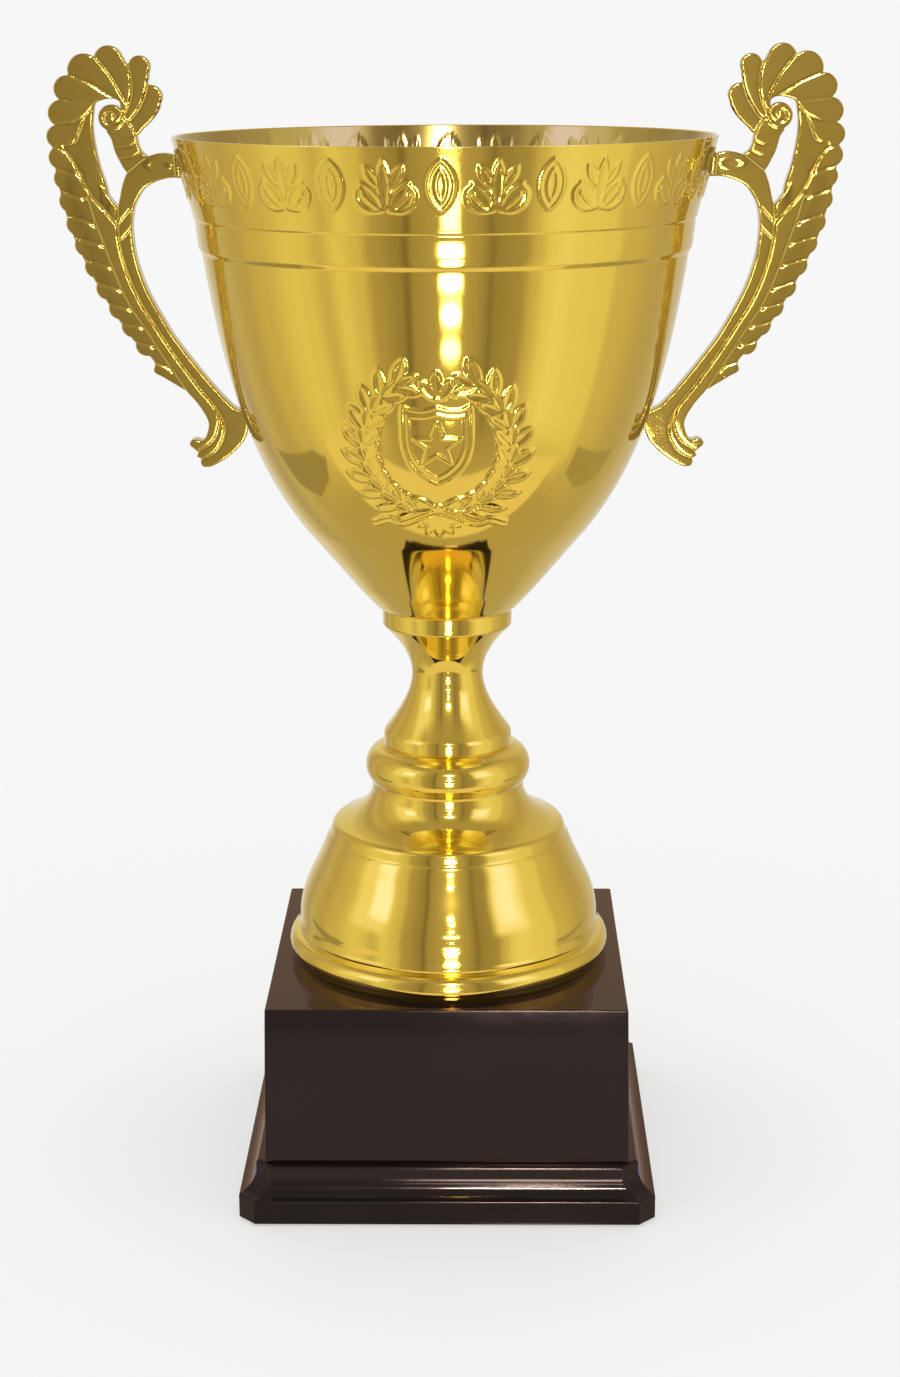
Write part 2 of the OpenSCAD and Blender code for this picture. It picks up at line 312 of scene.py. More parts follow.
class Field:
    """A shader value that can be reckoned with like a number."""

    def __init__(self, tree, socket):
        self.tree, self.socket = tree, socket

    def math(self, operation, *others):
        node = self.tree.nodes.new("ShaderNodeMath")
        node.operation = operation
        self.tree.links.new(self.socket, node.inputs[0])
        for slot, other in zip(node.inputs[1:], others):
            if isinstance(other, Field):
                self.tree.links.new(other.socket, slot)
            else:
                slot.default_value = other
        return Field(self.tree, node.outputs[0])

    def __add__(self, other):
        return self.math("ADD", other)

    def __sub__(self, other):
        return self.math("SUBTRACT", other)

    def __mul__(self, other):
        return self.math("MULTIPLY", other)

    def __truediv__(self, other):
        return self.math("DIVIDE", other)

    def smooth(self, lo, hi):
        """Rises smoothly from 0 at lo to 1 at hi."""
        node = self.tree.nodes.new("ShaderNodeMapRange")
        node.interpolation_type = "SMOOTHSTEP"
        node.inputs["From Min"].default_value = min(lo, hi)
        node.inputs["From Max"].default_value = max(lo, hi)
        if lo > hi:
            node.inputs["To Min"].default_value = 1
            node.inputs["To Max"].default_value = 0
        self.tree.links.new(self.socket, node.inputs["Value"])
        return Field(self.tree, node.outputs["Result"])

    def within(self, lo, hi, soft):
        """1 between lo and hi, with soft edges."""
        return self.smooth(lo - soft, lo + soft) * self.smooth(hi + soft, hi - soft)

    def towards(self, target, share):
        """This value, moved towards a target by a share of 0 to 1."""
        return self * (share * -1 + 1) + share * target

    def between(self, lo, hi):
        """0 to 1 turned into lo to hi."""
        return self * (hi - lo) + lo


def new_material(name, **settings):
    """A Principled material, its node tree and its shader, with the given uniform values."""
    material = bpy.data.materials.new(name)
    material.use_nodes = True
    tree = material.node_tree
    shader = tree.nodes["Principled BSDF"]
    for key, value in settings.items():
        shader.inputs[key.replace("_", " ")].default_value = value
    return material, tree, shader


def noise(tree, scale, stretch=(1, 1, 1), detail=2):
    """Noise in object space, as a Field of 0 to 1; scale is its features to the metre."""
    coordinates = tree.nodes.new("ShaderNodeTexCoord")
    mapping = tree.nodes.new("ShaderNodeMapping")
    mapping.inputs["Scale"].default_value = stretch
    node = tree.nodes.new("ShaderNodeTexNoise")
    node.inputs["Scale"].default_value = scale
    node.inputs["Detail"].default_value = detail
    tree.links.new(coordinates.outputs["Object"], mapping.inputs["Vector"])
    tree.links.new(mapping.outputs["Vector"], node.inputs["Vector"])
    return Field(tree, node.outputs[0])


def tint(tree, shader, share, dark, light):
    """Base colour that wanders between two colours."""
    node = tree.nodes.new("ShaderNodeMix")
    node.data_type = "RGBA"
    tree.links.new(share.socket, node.inputs["Factor"])
    node.inputs[6].default_value = (*dark, 1)
    node.inputs[7].default_value = (*light, 1)
    tree.links.new(node.outputs[2], shader.inputs["Base Color"])


def bump(tree, shader, height, distance):
    """Bump whose full height is the given distance in metres."""
    node = tree.nodes.new("ShaderNodeBump")
    node.inputs["Distance"].default_value = distance
    tree.links.new(height.socket, node.inputs["Height"])
    tree.links.new(node.outputs["Normal"], shader.inputs["Normal"])


def feed(tree, shader, socket, value):
    """Links a value that varies over the surface to one of the shader's sockets."""
    tree.links.new(value.socket, shader.inputs[socket])


# Darkest and lightest tint of each gold
BRIGHT_PLATE = ((0.94, 0.63, 0.084), (0.95, 0.655, 0.100))
# The lining's tints are the bowl's gold darkened to about six tenths: painted shade for the
# inside of the bowl
SHADED_LINING_TINTS = ((0.54, 0.375, 0.092), (0.60, 0.415, 0.104))
CAST_PLATE = ((0.59, 0.385, 0.062), (0.66, 0.445, 0.082))


def spun_gold(name, smooth, worn, ring_depth, wave_depth, tints=BRIGHT_PLATE):
    """Plated spun metal, with faint tool waves and fine polishing rings, deep in metres."""
    material, tree, shader = new_material(name, Metallic=1.0)
    waves = noise(tree, 14, detail=1)
    rings = noise(tree, 1, (15, 15, 2600), 3)
    haze = noise(tree, 22, detail=4)
    tint(tree, shader, haze, *tints)
    feed(tree, shader, "Roughness", (rings * 0.06 + haze * 0.94).between(smooth, worn))
    depth = ring_depth + wave_depth
    bump(tree, shader, rings * (ring_depth / depth) + waves * (wave_depth / depth), depth)
    return material


def cast_gold(name):
    """Plated casting: a softer gloss, with a faint grain left by the mould."""
    material, tree, shader = new_material(name, Metallic=1.0)
    haze = noise(tree, 60, detail=4)
    uneven = noise(tree, 150, detail=1)
    grain = noise(tree, 1400, detail=2)
    tint(tree, shader, haze, *CAST_PLATE)
    feed(tree, shader, "Roughness", haze.between(0.055, 0.10))
    bump(tree, shader, uneven * 0.9 + grain * 0.1, 0.00008)
    return material


def lacquer(name):
    """Very dark lacquer with a warm bronze sheen, a slight ripple and rubbed patches."""
    material, tree, shader = new_material(
        name, Metallic=0.6, IOR=1.45, Specular_Tint=(1, 0.61, 0.41, 1))
    patches = noise(tree, 28, detail=5)
    ripple = noise(tree, 90, detail=2)
    tint(tree, shader, patches, (0.022, 0.0175, 0.016), (0.027, 0.021, 0.0195))
    feed(tree, shader, "Roughness", patches.between(0.05, 0.12))
    bump(tree, shader, ripple, 0.00003)
    return material


def plated_steel(name):
    """Zinc-plated steel, patchy and finely scratched."""
    material, tree, shader = new_material(name, Metallic=1.0)
    patches = noise(tree, 160, detail=4)
    scratches = noise(tree, 500, (1, 6, 1), 3)
    tint(tree, shader, patches, (0.50, 0.50, 0.51), (0.66, 0.66, 0.65))
    feed(tree, shader, "Roughness", (patches * 0.6 + scratches * 0.4).between(0.2, 0.5))
    bump(tree, shader, scratches, 0.00001)
    return material


def moulded_plastic(name):
    """Pale moulded plastic with a fine grain."""
    material, tree, shader = new_material(name)
    patches = noise(tree, 40, detail=3)
    grain = noise(tree, 1800, detail=1)
    tint(tree, shader, patches, (0.74, 0.71, 0.64), (0.80, 0.77, 0.70))
    feed(tree, shader, "Roughness", patches.between(0.4, 0.55))
    bump(tree, shader, grain, 0.00002)
    return material


def felt(name):
    """Dark green felt: matted short fibres."""
    material, tree, shader = new_material(name, Roughness=1.0, Sheen_Weight=0.35)
    fibres = noise(tree, 900, (1, 2.5, 1), 5)
    clumps = noise(tree, 130, detail=3)
    tint(tree, shader, fibres * 0.6 + clumps * 0.4, (0.010, 0.016, 0.010), (0.035, 0.05, 0.033))
    bump(tree, shader, fibres, 0.0003)
    return material


BOWL_GOLD = spun_gold("spun_gold", 0.035, 0.10, 0.0000016, 0.0005)
POLISHED_GOLD = spun_gold("mirror_gold", 0.06, 0.085, 0.0000004, 0.00004)
# Inside of the bowl: its higher roughness is a real duller finish, and its darker tint is
# painted shade of the hollow
SHADED_LINING_GOLD = spun_gold("lining_gold_painted_shade", 0.06, 0.13, 0.0000016, 0.0003, SHADED_LINING_TINTS)
HANDLE_GOLD = cast_gold("cast_gold")
LACQUER = lacquer("dark_lacquer")
STEEL = plated_steel("zinc_plate")
CORE_PLASTIC = moulded_plastic("core_plastic")
FELT = felt("green_felt")


# ---------------- bowl

BELLY_FOOT = np.array([RIM_R - 45.6, 33])
BELLY_TOP = np.array([RIM_R - 10.1, BOWL_H - 41.7])
BAND_FOOT = np.array([RIM_R - 7.3, BOWL_H - 28.4])
BAND_LEAN = atan2(RIM_R - BAND_FOOT[0], BOWL_H - BAND_FOOT[1])

bowl_outer = rounded(np.vstack([
    [[24.4, 0]],
    curve([[25.4, 0.25], [27.1, 0.9], [27.9, 2.2], [29.3, 3.6]]),
    [[34.4, 9.2]],
    curve([BELLY_FOOT, BELLY_FOOT + [19.5, 25.5], BELLY_TOP + [-7, -46], BELLY_TOP], 200),
    [BELLY_TOP + [0.35, 0.5], BELLY_TOP + [1.1, 1.7]],
    [BELLY_TOP + [1.35, 3.2], BELLY_TOP + [1.5, 4.2]],
    [BAND_FOOT + [-0.6, -2.4], BAND_FOOT + [-0.55, -1.1], BAND_FOOT + [0, -0.3]],
    [BAND_FOOT + [0.05, 0.2], [RIM_R, BOWL_H]],
]), 0.32)
bowl_inner = inset(bowl_outer, SHEET_T)
# The rounded rim: how far it reaches down, and where it turns in from each face
LIP_DROP = 0.35
LIP_BEVEL = 0.15


def part_of(path, lowest, highest):
    """The stretch of a profile between two heights."""
    cut = [np.interp(z, path[:, 1], path[:, 0]) for z in (lowest, highest)]
    between = path[(path[:, 1] > lowest) & (path[:, 1] < highest)]
    return np.vstack([[cut[0], lowest], between, [cut[1], highest]])


FRIEZE_UNITS = 16
FRIEZE_R = (BAND_FOOT[0] + RIM_R) / 2
FRIEZE_MIDDLE = BOWL_H - 12.8
# Half height of the band that it fills, its height off the sheet, and its share inside
FRIEZE_REACH = 10.5
FRIEZE_PLATEAU = 0.2
INSIDE_SHARE = 0.8


def frieze_height(x, y, pitch):
    """Relief of one unit of the leaf frieze; x is from its middle, y from its centre line."""
    side = np.abs(x)
    leaf = from_leaf(x, y, (0, -9.2), 90, 18.4, 9.6)
    vein = from_leaf(x, y, (0, -5.6), 90, 11.2, 3.4)
    height = raised(leaf, FRIEZE_PLATEAU, 0.28) + 0.24 * ridge(vein, 0.36)

    far = pitch / 2 - side
    bud = from_leaf(far, y, (0, -8.8), 90, 18, 4.6)
    for base, heading, length, width in (
            ((0.9, -8.6), 52, 12.6, 4.4), ((1.4, -1.2), 58, 9.6, 3.4)):
        bud = np.minimum(bud, from_leaf(far, y, base, heading, length, width))
    curl = spline([[1.2, -8.4], [5.6, -8.8], [9.2, -6.6], [10.2, -3.0], [8.8, -0.8],
                   [7.2, -1.8], [7.5, -3.4]])
    bud = np.minimum(bud, from_path(far, y, curl) - 0.7)
    return np.maximum(height, raised(bud, FRIEZE_PLATEAU, 0.26))


def frieze(path, angles):
    """Relief of the frieze on the rim band."""
    pitch = 2 * pi * FRIEZE_R / FRIEZE_UNITS
    x = (angles * FRIEZE_R + pitch / 2) % pitch - pitch / 2
    y = (path[:, 1] - FRIEZE_MIDDLE) / cos(BAND_LEAN)
    x, y = np.meshgrid(x, y)
    return frieze_height(x, y, pitch)


def frieze_inside(path, angles):
    """The same relief as it shows in reverse on the inner face."""
    return -INSIDE_SHARE * frieze(path, angles)


# Azimuth and height of the emblem's middle, and how far it reaches: as an angle each way,
# in height, and along the sheet
EMBLEM_TURN = radians(-1.6)
EMBLEM_Z = 73.5
EMBLEM_ARC = radians(31)
EMBLEM_RISE = 38
EMBLEM_LIMIT = 42
WREATH_MIDDLE = (0, 0.5)
WREATH_HALF_W = 26.5
WREATH_HALF_H = 27.5
WREATH_SPRIGS = 10


def laurel(x, y):
    """Distance from one branch of the wreath and from the ribs of its leaves."""
    ring = (WREATH_MIDDLE, WREATH_HALF_W, WREATH_HALF_H)
    d = from_path(x, y, oval(*ring, -82, 58)) - 0.55
    ribs = np.full(x.shape, FAR_OFF)
    for i, angle in enumerate(np.linspace(-74, 56, WREATH_SPRIGS)):
        base = oval(*ring, angle, angle, 0)[0]
        ahead = angle + (98 if i == WREATH_SPRIGS - 1 else 90)
        for lean, length, width in ((-44, 11.2, 4.6), (40, 10.2, 4.2), (-2, 9.5, 4.0)):
            heading = ahead + lean
            d = np.minimum(d, from_leaf(x, y, base, heading, length, width))
            tip = base + 0.74 * length * np.array([cos(radians(heading)), sin(radians(heading))])
            ribs = np.minimum(ribs, from_path(x, y, np.array([base, tip])))
    return d, ribs


SHIELD = [[0, 16.2], [4.4, 14.9], [8.8, 15.2], [12.2, 16.4], [12.6, 8], [12.2, 0.5],
          [9.8, -6.4], [5.2, -11.6], [0, -14.8]]


def emblem_height(x, y):
    """Relief of the emblem: a laurel wreath round a shield with a star."""
    side = np.abs(x)
    leaves, ribs = laurel(side, y)
    height = raised(leaves)
    height -= 0.3 * ridge(ribs, 0.4) * (leaves < 0)

    right = np.array(SHIELD)
    left = right[::-1] * [-1, 1]
    shield = from_loop(x, y, np.vstack([spline(right), spline(left)]))
    height = np.where(shield < 0.8, raised(shield), height)
    height += 0.32 * ridge(shield + 2.7, RELIEF_SOFT)
    star = from_star(x, y, (0, 1.4), 9.2)
    height += raised(star, 0.4, 0.34)

    fan = np.full(x.shape, FAR_OFF)
    for lean, length in ((0, 11), (36, 9.6)):
        fan = np.minimum(fan, from_leaf(side, y, (0, 18.2), 90 - lean, length, 4.2))
    for lean, length in ((0, 10.4), (26, 10.2), (50, 9.4), (72, 8.4)):
        fan = np.minimum(fan, from_leaf(side, y, (0, -27.6), -90 + lean, length, 3.7))
    height = np.maximum(height, raised(fan))

    bow = spline([[0.5, -25.4], [4.5, -21.6], [9.6, -20.4], [12.2, -23.2], [9.4, -26.2],
                  [4.6, -26.4], [0.5, -25.4]])
    ribbon = np.abs(from_loop(side, y, bow)) - 0.55
    tail = spline([[1.5, -26.6], [7.5, -29.2], [13.5, -31.8], [18.4, -30.6], [23.5, -32.6]])
    ribbon = np.minimum(ribbon, from_path(side, y, tail) - 1.5)
    ribbon = np.minimum(ribbon, from_disc(side, y, (0, -25.6), 2.5))
    return np.where(ribbon < 0.7, np.maximum(raised(ribbon), height * 0.4), height)


def emblem(path, angles):
    """Relief of the emblem on the front of the belly."""
    along = lengths(bowl_outer)
    here = np.interp(path[:, 1], bowl_outer[:, 1], along)
    middle = np.interp(EMBLEM_Z, bowl_outer[:, 1], along)
    x = np.outer(path[:, 0], angles - EMBLEM_TURN)
    y = np.repeat((here - middle)[:, None], len(angles), 1)
    near = (np.abs(x) < EMBLEM_LIMIT) & (np.abs(y) < EMBLEM_LIMIT)
    lift = np.zeros(x.shape)
    lift[near] = emblem_height(x[near], y[near])
    return lift


# Spacing of the bowl's rows, and numbers of its columns
FRIEZE_STEP = 0.48
EMBLEM_STEP = 0.5
PLAIN_STEP = 1.6
EMBLEM_COLUMNS = 160
PLAIN_COLUMNS = 116
BAND_COLUMNS = 1080


def body_step(z):
    """Row spacing on the belly: fine where the emblem is."""
    beside = (z > EMBLEM_Z - EMBLEM_RISE) & (z < EMBLEM_Z + EMBLEM_RISE)
    return np.where(beside, EMBLEM_STEP, PLAIN_STEP)


def band_step(z):
    """Row spacing on the rim band: fine where the frieze is."""
    return np.where(np.abs(z - FRIEZE_MIDDLE) < FRIEZE_REACH, FRIEZE_STEP, PLAIN_STEP)


def body_angles():
    """Columns of the belly: close together across the emblem."""
    fine = EMBLEM_TURN + np.linspace(-EMBLEM_ARC, EMBLEM_ARC, EMBLEM_COLUMNS)
    rest = np.linspace(fine[-1], fine[0] + 2 * pi, PLAIN_COLUMNS)[1:-1]
    return np.concatenate([fine, rest])


def make_bowl():
    """The bowl in two shells that meet at the foot of the rim band."""
    seam = BAND_FOOT[1]
    belly_in = part_of(bowl_inner, SHEET_T, seam)
    belly_out = part_of(bowl_outer, 0, seam)
    # The inner faces take the lining, whose darker tint is painted shade
    turned("bowl_body", [
        flat([ROD_HOLE_R, 0], belly_out[0]),
        (rows(belly_out, body_step), emblem),
        flat(belly_out[-1], belly_in[-1]),
        (rows(belly_in, 3.5, 10)[::-1], None),
        flat(belly_in[0], [ROD_HOLE_R, SHEET_T]),
        flat([ROD_HOLE_R, SHEET_T], [ROD_HOLE_R, 0]),
    ], BOWL_Z, body_angles(), BOWL_GOLD, "bowl", SHADED_LINING_GOLD, (3, 4, 5))

    top = bowl_outer[-1]
    out = part_of(bowl_outer, seam, BOWL_H - LIP_DROP)
    within = part_of(bowl_inner, seam, BOWL_H - LIP_DROP)
    crown = [top + [-LIP_BEVEL, 0], top + [-SHEET_T + LIP_BEVEL, 0]]
    lip = rounded(np.vstack([out[-1], *crown, within[-1]]), 0.2, 0.02)
    # The inner face of the band takes the lining, whose darker tint is painted shade
    turned("bowl_rim_band", [
        (rows(out, band_step), frieze),
        (rows(lip, 0.3, 20), None),
        (rows(within, 1.6, 6)[::-1], frieze_inside),
        flat(within[0], out[0]),
    ], BOWL_Z, round_angles(BAND_COLUMNS), BOWL_GOLD, "bowl", SHADED_LINING_GOLD, (2, 3))


# ---------------- stem, knop, foot

TURNED_COLUMNS = 256

stem_outer = np.vstack([
    [[24.3, 0], [24.75, 0.6], [24.75, 4.4], [24.4, 5.4]],
    curve([[24.2, 5.8], [17.9, 13.9], [13.7, 21.2], [13.7, 28]]),
    curve([[13.7, 28], [13.7, 35.6], [19.3, 42.4], [24.1, 47]])[1:],
    [[24.6, 47.5], [24.8, 48.2], [24.8, STEM_H - 0.4], [24.4, STEM_H]],
])

knop_outer = np.vstack([
    [[29.3, 0]],
    oval([24.5, 7.3], 7.5, 8.1, -48, 60),
    [[26.6, 15.1], [25.4, KNOP_H]],
])

foot_outer = np.vstack([
    [[FOOT_R - 1.2, 0], [FOOT_R - 0.45, 1.8]],
    oval([FOOT_R - 3.6, 4.9], 3.6, 4.9, -25, 88),
    [[FOOT_R - 4.1, 10.1], [FOOT_R - 3.6, 11.2], [FOOT_R - 3.5, 12.2], [FOOT_R - 4, 13.4]],
    curve([[FOOT_R - 4.3, 15.5], [FOOT_R - 4.3, 24.5], [54.6, 31.5], [51, 39]]),
    curve([[50.2, 40.7], [48.8, 43.8], [47.9, 46.4], [46.9, 48.3]]),
    [[46.4, 48.9], [46.2, 49.4], [45.4, 52.3], [44.8, 53.2]],
    curve([[43.8, 53.9], [36.4, 56.6], [30.6, 60.9], [29.6, FOOT_H - 2.2]]),
    [[29.5, FOOT_H]],
])


def shell(name, profile, base, height, stands_for, has_floor):
    """A turned hollow shell with a flat top plate, and with a floor plate or an open foot."""
    outer = rounded(profile, 0.3)
    within = inset(outer, SHEET_T)
    floor_z = SHEET_T if has_floor else 0
    within = part_of(within[np.argsort(within[:, 1])], floor_z, height - SHEET_T)
    hole_low, hole_high = [ROD_HOLE_R, height - SHEET_T], [ROD_HOLE_R, height]
    strips = [
        (rows(outer, 1.2, 3), None),
        flat(outer[-1], hole_high),
        flat(hole_high, hole_low),
        flat(hole_low, within[-1]),
        (rows(within, 3, 8)[::-1], None),
    ]
    if has_floor:
        strips += [
            flat(within[0], [ROD_HOLE_R, floor_z]),
            flat([ROD_HOLE_R, floor_z], [ROD_HOLE_R, 0]),
            flat([ROD_HOLE_R, 0], outer[0]),
        ]
    else:
        strips.append(flat(within[0], outer[0]))
    columns = round_angles(TURNED_COLUMNS)
    turned(name, strips, base, columns, POLISHED_GOLD, stands_for)


# ---------------- handles

# Origin of the handle's outlines, beside the rim
HANDLE_AT_X = RIM_R + 0.9
HANDLE_AT_Z = RIM_Z + 0.5
# Half thicknesses, and the rounding of the edges
SPINE_HALF = 3.85
LEAF_HALF = 2.65
NECK_HALF = 3.3
VOLUTE_HALF = 3.6
COLLAR_HALF = 4.4
EDGE_R = 0.55
SPINE_EDGE_R = 0.5
COLLAR_EDGE_R = 1.2
# Rise of the leaves towards the spine, and over what width
ROOT_RISE = 0.35
ROOT_REACH = 9
CHAMFER_W = 0.8
CHAMFER_SLOPE = 0.5
# Cut lines: their width, the fall of the face towards them, and their depths
LINE_R = 0.3
LINE_FALL = 0.2
LINE_FALL_R = 1.1
LEAF_CUT = 0.3
SPINE_CUT = 0.4
NECK_CUT = 0.35
VOLUTE_CUT = 0.45
# Pit at the root of each feather
DIMPLE_DEPTH = 0.34
DIMPLE_R = 1.0
# Ring raised on the arm: its middle, half axes, height and half width
RING_X, RING_Z = 4.2, -11
RING_A, RING_B = 4.2, 1.8
RING_SCALE = 1.9
RING_RISE = 0.16
RING_R = 0.5
# Grid on which the handle's surface is found: its steps, size and low corner
GRID_STEP = (0.27, 0.4, 0.27)
GRID_SIZE = (76, 10.5, 158.5)
GRID_INWARDS = 29
GRID_DROP = 125
# How deep the handle goes into the bowl's wall, and the share of its triangles kept
SUNK = 0.5
KEPT_SHARE = 0.5

# Round tips of the leaves, from the crest down to the tail: x, z, radius
LEAF_TIPS = [
    [6.5, 13.3, 4.3], [10.3, 24, 4], [21.5, 26.3, 5.3], [30.5, 22.8, 6],
    [37, 16.3, 4.8], [39.5, 7.6, 4.8], [41, -0.7, 4.2], [40.5, -8.2, 4.2],
    [38.9, -15.7, 4.2], [37.3, -23.9, 4.2], [35, -32.2, 4.2], [32.2, -39.9, 4.2],
    [28.8, -47.9, 4.2], [24.9, -55.9, 4.2], [20.5, -63.2, 4.2], [16, -69.9, 4.2],
    [11, -76.9, 4.2],
]
# Sheet of leaves between the notches and the frame
LEAVES = [
    [12.4, -0.5], [9.4, 2], [6.3, 4.8], [4, 7.8], [2.9, 10.8], [4.5, 14],
    [7.3, 17.8], [6.9, 20.3], [7.6, 23.4], [14.5, 25], [17.4, 28.4], [26.3, 27.8],
    [36, 21.1], [40.1, 12.6],
    [42.1, 3.5], [43.3, -4.8], [42.5, -11.9], [41.1, -20.3], [39, -29.4],
    [36.6, -37.4], [33.2, -45.4], [29.2, -53.7], [24.8, -61.7],
    [20.5, -68.7], [15.5, -75.8], [8.5, -83], [8.7, -86.9], [5, -89.2],
    [0, -92.2], [-3, -93.7], [-3, -90], [1, -82], [7, -73], [12, -64.5],
    [16, -56], [19, -47], [21.5, -38], [22.5, -29], [23.6, -19.5], [25.9, -11.7],
    [27.5, -3.2], [28, 2.8], [27.6, 7.3], [26.8, 11], [24, 12.3], [20.5, 12.8],
    [18, 11.8], [17.5, 9.8], [16, 4],
]
# Arm, spine and foot scroll in one sweep
SPINE = [
    [-8, -15.2], [-0.5, -15.6], [4, -16.5], [9, -18.9], [12, -22.7],
    [13.9, -26.8], [14.8, -33.2], [14.5, -39.2], [13.5, -45.7],
    [11.3, -53.2], [8.5, -59.7], [5, -66.2], [1, -73.2], [-4, -80.2],
    [-9, -86.7], [-13.5, -92.2], [-17.6, -96.9], [-21.3, -100.4], [-25.6, -102.6],
    [-26.4, -107], [-25.2, -112], [-22, -116], [-19, -118.6], [-16, -120.7],
    [-12, -122.7], [-9, -122.8], [-8, -121.2], [-8.1, -119.7],
    [-6.6, -118.9], [-7, -117.2], [-4.2, -114.7], [-4.5, -112.9],
    [-6.5, -112.4], [-8.5, -112.9], [-10, -111.7], [-11, -109.2],
    [-11.4, -106.2], [-10, -102.7], [-7, -98.2], [-3, -93.5], [2.5, -85.2],
    [7.3, -77.7], [11.5, -70.7], [15.8, -64.2], [19.5, -56.7],
    [22.8, -48.2], [25.5, -40.2], [28.3, -32.2], [31, -23.2], [32, -17],
    [29.5, -14.6], [26.6, -16], [24.6, -19.2], [22.6, -22.8], [20, -25.7],
    [19, -23.2], [17.8, -18.2], [15.8, -13.4], [13, -11], [10, -8.9],
    [7, -7.5], [3, -6.7], [-1, -7.2], [-8, -9.6],
]
# Bead round the arm where it meets the bowl
COLLAR = [[-2.4, -8.6], [-2.9, -14.2]]
COLLAR_R = 1.5
# Ringed neck that carries the crest on the arm
NECK = [
    [12.4, 0.4], [11.5, -3.7], [10.3, -6.2], [7.5, -9], [11, -11.5],
    [15.6, -13.8], [18.5, -9.7], [20.3, -5.7], [21.3, -1.7], [23, 1.6],
    [22, 6], [16, 5.5],
]
VOLUTE_MIDDLE = (21, 6)
VOLUTE_R = 4.7

# Grooves between the leaves of the crest, from each notch inwards
CREST_GROOVES = [
    [[7.3, 17.8], [8.5, 13.8], [10.5, 9.8], [13.5, 5.8], [17, 2.3], [19, 1.3]],
    [[14.4, 25], [13.5, 20.8], [13.3, 15.8], [13.9, 12.3], [15, 9.3], [17, 5.8],
     [19, 4.1], [21.5, 3.8], [23.3, 5.1], [23, 7.1], [21, 8], [19.7, 6.8], [20.2, 5.8]],
    [[26.3, 27.8], [20.5, 20.3], [17, 13.8], [15.2, 11]],
    [[36, 21.1], [29, 18.3], [24, 15.3], [19.8, 12.8]],
    [[40.1, 12.6], [34, 11.8], [27, 11.1]],
    [[42.1, 3.5], [36, 4.3], [31, 6.3], [27.5, 9.8]],
    [[39, -4.2], [36, -3.6], [34, -1.7], [30.8, 5.8]],
    [[43.3, -4.8], [40.3, -5.2], [37.3, -7.2], [34.5, -12.2], [31.5, -18.7], [28, -23.9],
     [24, -28.2], [20, -32.9]],
]
# Grooves between the feathers: notch, middle, root
FEATHER_GROOVES = [
    [[42.5, -11.9], [37, -13.7], [33.5, -14.4]],
    [[41.1, -20.3], [36, -22.2], [32, -23.2]],
    [[39, -29.4], [33, -30.9], [28.5, -32.9]],
    [[36.6, -37.4], [31, -38.9], [25.7, -40.4]],
    [[33.2, -45.4], [28, -46.9], [22.8, -48.4]],
    [[29.2, -53.7], [24, -55.4], [19.5, -56.9]],
    [[24.8, -61.7], [20, -62.9], [16, -63.9]],
    [[20.5, -68.7], [16, -69.9], [12, -70.6]],
    [[15.5, -75.8], [12, -76.9], [8, -77.7]],
    [[7.7, -83.8], [4, -85.2], [1, -86.7]],
]
# Lines cut along the spine, across its fork and down into the foot scroll
SPINE_GROOVES = [
    [[19.9, -25.2], [20, -33.2], [19.8, -38.2], [18.5, -45.2], [16, -53.2],
     [12.5, -61.2], [8.3, -68.2], [4, -75.2], [-2, -84.2], [-8.5, -93.2],
     [-13.7, -99.7], [-15.5, -104.2], [-15.2, -107.7], [-14, -111.2],
     [-11.5, -114.2], [-7, -116.9]],
    [[-13.7, -99.7], [-16.2, -104.2], [-17.3, -107.7], [-16.7, -112.2],
     [-14, -116.7], [-11, -118.9], [-8.2, -119.9]],
    [[15, -34.2], [19, -38.2]],
    [[15.2, -27.2], [19.5, -32.2]],
    [[9.5, -8.4], [15.5, -13.2]],
]
NECK_GROOVES = [
    [[12.4, -0.3], [16.8, -0.9], [21.2, -0.6]],
    [[11.7, -2.9], [15.4, -4.5], [20.6, -4.7]],
    [[10.4, -6.2], [14.2, -8.2], [18.6, -8.9]],
]


def surface_net(field, origin, step):
    """Closed quad mesh along the zero surface of a 3-D field that is negative inside."""
    cells = tuple(n - 1 for n in field.shape)
    total = np.zeros(cells + (3,))
    count = np.zeros(cells)
    rings = []
    for axis in range(3):
        order = [axis] + [k for k in range(3) if k != axis]
        turned_field = np.transpose(field, order)
        near, far = turned_field[:-1], turned_field[1:]
        crossing = (near < 0) != (far < 0)
        at = np.argwhere(crossing)
        share = near[crossing] / (near[crossing] - far[crossing])
        cell = np.empty_like(at)
        cell[:, order] = at
        point = cell.astype(float)
        point[:, axis] += share
        corners = []
        for back in ((1, 1), (0, 1), (0, 0), (1, 0)):
            c = cell.copy()
            c[:, order[1]] -= back[0]
            c[:, order[2]] -= back[1]
            corners.append(c)
            where = tuple(c.T)
            np.add.at(total, where, point)
            np.add.at(count, where, 1)
        outwards = (near[crossing] < 0) != (axis == 1)
        rings.append((corners, outwards))
    used = count > 0
    number = np.full(cells, -1)
    number[used] = np.arange(used.sum())
    points = total[used] / count[used][:, None] * step + origin
    faces = []
    for corners, outwards in rings:
        quad = np.stack([number[tuple(c.T)] for c in corners], -1)
        quad[~outwards] = quad[~outwards][:, ::-1]
        faces.append(quad)
    return points, np.vstack(faces)


def slab(beside, over, edge):
    """Distance-like field of a plate with rounded edges."""
    a, b = beside + edge, over + edge
    outside = np.hypot(np.maximum(a, 0), np.maximum(b, 0))
    return outside + np.minimum(np.maximum(a, b), 0) - edge


def all_paths(x, z, paths):
    """Distance from the nearest of several smooth lines."""
    return np.minimum.reduce([from_path(x, z, spline(p, 4)) for p in paths])


def line(d, depth):
    """Depth of a fine cut line, with a slight fall of the face towards it."""
    return depth * ridge(d, LINE_R) + LINE_FALL * depth * np.exp(-d / LINE_FALL_R)


